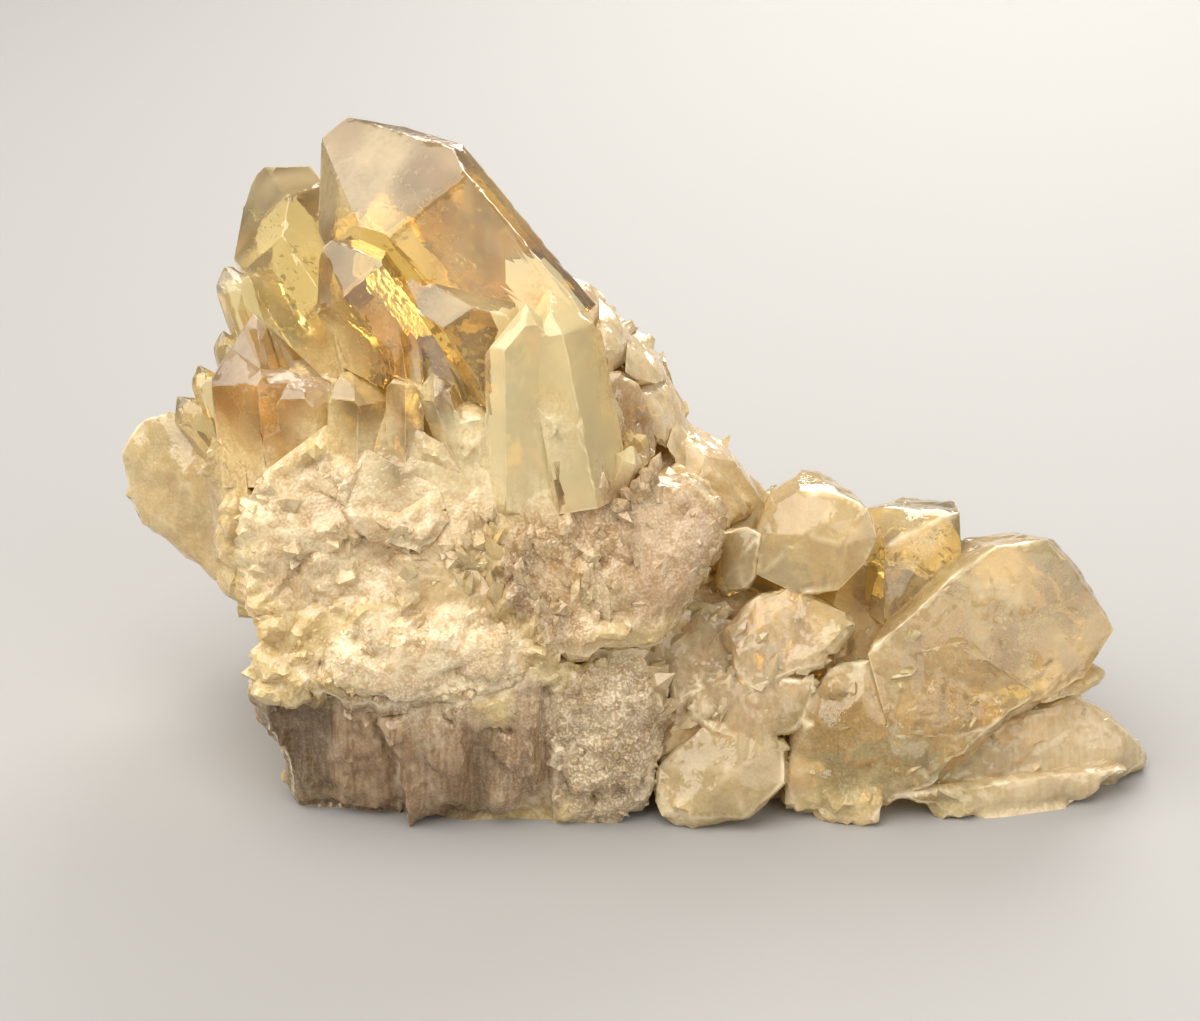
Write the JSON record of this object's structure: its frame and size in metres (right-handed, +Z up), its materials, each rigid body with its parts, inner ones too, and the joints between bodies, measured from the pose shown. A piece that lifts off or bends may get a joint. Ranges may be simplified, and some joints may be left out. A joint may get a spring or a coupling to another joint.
{
  "type": "citrine cluster",
  "caption": "Natural cluster of golden citrine crystals grown together on a milky quartz root, with a tall slanting point and a low arm; a display specimen.",
  "frame": {"origin": "middle of the bounding box, on the surface that the specimen rests on", "axes": "+X along the length, from the tall crystals towards the low arm; -Y is the broken front that the picture shows; +Z up"},
  "size_m": [0.1492, 0.076, 0.0919],
  "materials": {
    "citrine": "clear golden quartz in the large crystals, milky and frosted in the broken root"
  },
  "bodies": {
    "root": {"citrine_cluster": "citrine"}
  },
  "joints": []
}
